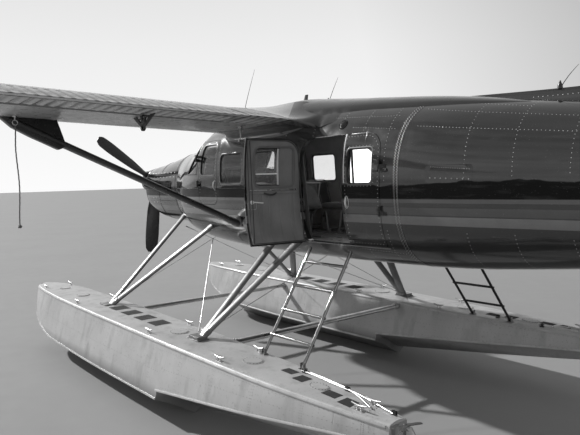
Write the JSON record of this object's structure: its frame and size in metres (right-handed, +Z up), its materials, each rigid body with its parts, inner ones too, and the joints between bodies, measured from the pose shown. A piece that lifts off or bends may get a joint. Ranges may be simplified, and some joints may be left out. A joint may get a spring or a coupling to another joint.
{
  "type": "floatplane",
  "caption": "High-wing utility floatplane on twin floats, with a turboprop nose, opening doors, flaps, control surfaces and water rudders.",
  "frame": {"origin": "middle of the plan outline, at the height of the floats' keels", "axes": "+X forward along the fuselage, +Y to port along the span, +Z up"},
  "size_m": [14.01, 17.68, 4.57],
  "materials": {
    "dark_paint": "deep gloss over aluminium skin",
    "tail_paint": "deep gloss over thin aluminium skin",
    "wing_paint": "satin grey",
    "float_paint": "satin light grey",
    "metal": "polished",
    "black_paint": "satin black",
    "engine": "bare metal",
    "lining": "matt grey floor",
    "seat": "dark woven cover",
    "glass": "clear pane",
    "rope": "weathered fibre rope"
  },
  "bodies": {
    "airframe": {"window_left_front": "glass", "window_left_rear": "glass", "window_right_front": "glass", "window_right_middle": "glass", "window_right_rear": "glass", "windshield_left": "glass", "windshield_right": "glass", "quarter_window_left": "glass", "quarter_window_right": "glass", "cabin_shell": "dark_paint", "cabin_floor": "lining", "instrument_panel": "black_paint", "seats_left": "seat", "seats_right": "seat", "crew_seats": "seat", "tail_cone": "tail_paint", "nose_cowl": "dark_paint", "engine_block": "engine", "exhaust_left": "metal", "exhaust_right": "metal", "wing_centre": "wing_paint", "wing_left": "wing_paint", "wing_right": "wing_paint", "wing_strut_left": "black_paint", "wing_strut_right": "black_paint", "tailplane": "tail_paint", "fin": "tail_paint", "ventral_fin": "tail_paint", "float_left": "float_paint", "float_right": "float_paint", "float_strut_front_left": "black_paint", "float_strut_front_right": "black_paint", "float_strut_rear_left": "black_paint", "float_strut_rear_right": "black_paint", "spreader_bar_front": "metal", "spreader_bar_rear": "metal", "ladder_port": "metal", "ladder_starboard": "black_paint", "tie_down_rope": "rope"},
    "propeller": {"propeller": "black_paint", "spinner": "metal"},
    "rudder": {"rudder": "tail_paint"},
    "elevator": {"elevator": "tail_paint"},
    "aileron_left": {"aileron_left": "wing_paint"},
    "aileron_right": {"aileron_right": "wing_paint"},
    "flap_left": {"flap_left": "wing_paint"},
    "flap_right": {"flap_right": "wing_paint"},
    "water_rudder_left": {"water_rudder_left": "metal"},
    "water_rudder_right": {"water_rudder_right": "metal"},
    "crew_door_left": {"crew_door_left": "dark_paint", "crew_door_window_left": "glass"},
    "crew_door_right": {"crew_door_right": "dark_paint", "crew_door_window_right": "glass"},
    "cargo_door_front": {"cargo_door_front": "dark_paint", "cargo_door_window_front": "glass"},
    "cargo_door_rear": {"cargo_door_rear": "dark_paint", "cargo_door_window_rear": "glass"},
    "cabin_door_right": {"cabin_door_right": "dark_paint", "cabin_door_window_right": "glass"}
  },
  "joints": [
    {"name": "propeller_spin", "type": "hinge", "parent": "airframe", "child": "propeller", "pos_m": [6.025, 0, 2.68], "axis": [1, 0, 0], "continuous": true},
    {"name": "rudder_hinge", "type": "hinge", "parent": "airframe", "child": "rudder", "pos_m": [-6.185, 0, 3.5], "axis": [0, 0, 1], "range_deg": [-25, 25]},
    {"name": "elevator_hinge", "type": "hinge", "parent": "airframe", "child": "elevator", "pos_m": [-6.055, 0, 3.16], "axis": [0, 1, 0], "range_deg": [-20, 25]},
    {"name": "aileron_left_hinge", "type": "hinge", "parent": "airframe", "child": "aileron_left", "pos_m": [1.2, 6.7, 3.5421], "axis": [0, 0.9994, 0.0349], "range_deg": [-20, 20]},
    {"name": "aileron_right_hinge", "type": "hinge", "parent": "airframe", "child": "aileron_right", "pos_m": [1.2, -6.7, 3.5421], "axis": [0, 0.9994, -0.0349], "range_deg": [-20, 20]},
    {"name": "flap_left_hinge", "type": "hinge", "parent": "airframe", "child": "flap_left", "pos_m": [1.275, 3.5, 3.17127], "axis": [0, 0.9994, 0.0349], "range_deg": [-60, 0]},
    {"name": "flap_right_hinge", "type": "hinge", "parent": "airframe", "child": "flap_right", "pos_m": [1.275, -3.5, 3.17127], "axis": [0, 0.9994, -0.0349], "range_deg": [-60, 0]},
    {"name": "water_rudder_left_hinge", "type": "hinge", "parent": "airframe", "child": "water_rudder_left", "pos_m": [-1.405, 1.76, 0.6], "axis": [0, 0, 1], "range_deg": [-30, 30]},
    {"name": "water_rudder_right_hinge", "type": "hinge", "parent": "airframe", "child": "water_rudder_right", "pos_m": [-1.405, -1.76, 0.6], "axis": [0, 0, 1], "range_deg": [-30, 30]},
    {"name": "crew_door_left_hinge", "type": "hinge", "parent": "airframe", "child": "crew_door_left", "pos_m": [3.135, 0.81, 2.775], "axis": [0, 0, -1], "range_deg": [0, 80]},
    {"name": "crew_door_right_hinge", "type": "hinge", "parent": "airframe", "child": "crew_door_right", "pos_m": [3.135, -0.81, 2.775], "axis": [0, 0, 1], "range_deg": [0, 80]},
    {"name": "cargo_door_front_hinge", "type": "hinge", "parent": "airframe", "child": "cargo_door_front", "pos_m": [0.865, 0.858, 2.528], "axis": [0, 0, -1], "range_deg": [-100, 70]},
    {"name": "cargo_door_rear_hinge", "type": "hinge", "parent": "airframe", "child": "cargo_door_rear", "pos_m": [-0.325, 0.84192, 2.528], "axis": [0, 0, 1], "range_deg": [0, 170]},
    {"name": "cabin_door_right_hinge", "type": "hinge", "parent": "airframe", "child": "cabin_door_right", "pos_m": [0.865, -0.858, 2.528], "axis": [0, 0, 1], "range_deg": [0, 170]}
  ],
  "couplings": [
    {"joint": "aileron_right_hinge", "follows": "aileron_left_hinge", "ratio": -1},
    {"joint": "flap_right_hinge", "follows": "flap_left_hinge", "ratio": 1},
    {"joint": "water_rudder_right_hinge", "follows": "water_rudder_left_hinge", "ratio": 1}
  ]
}
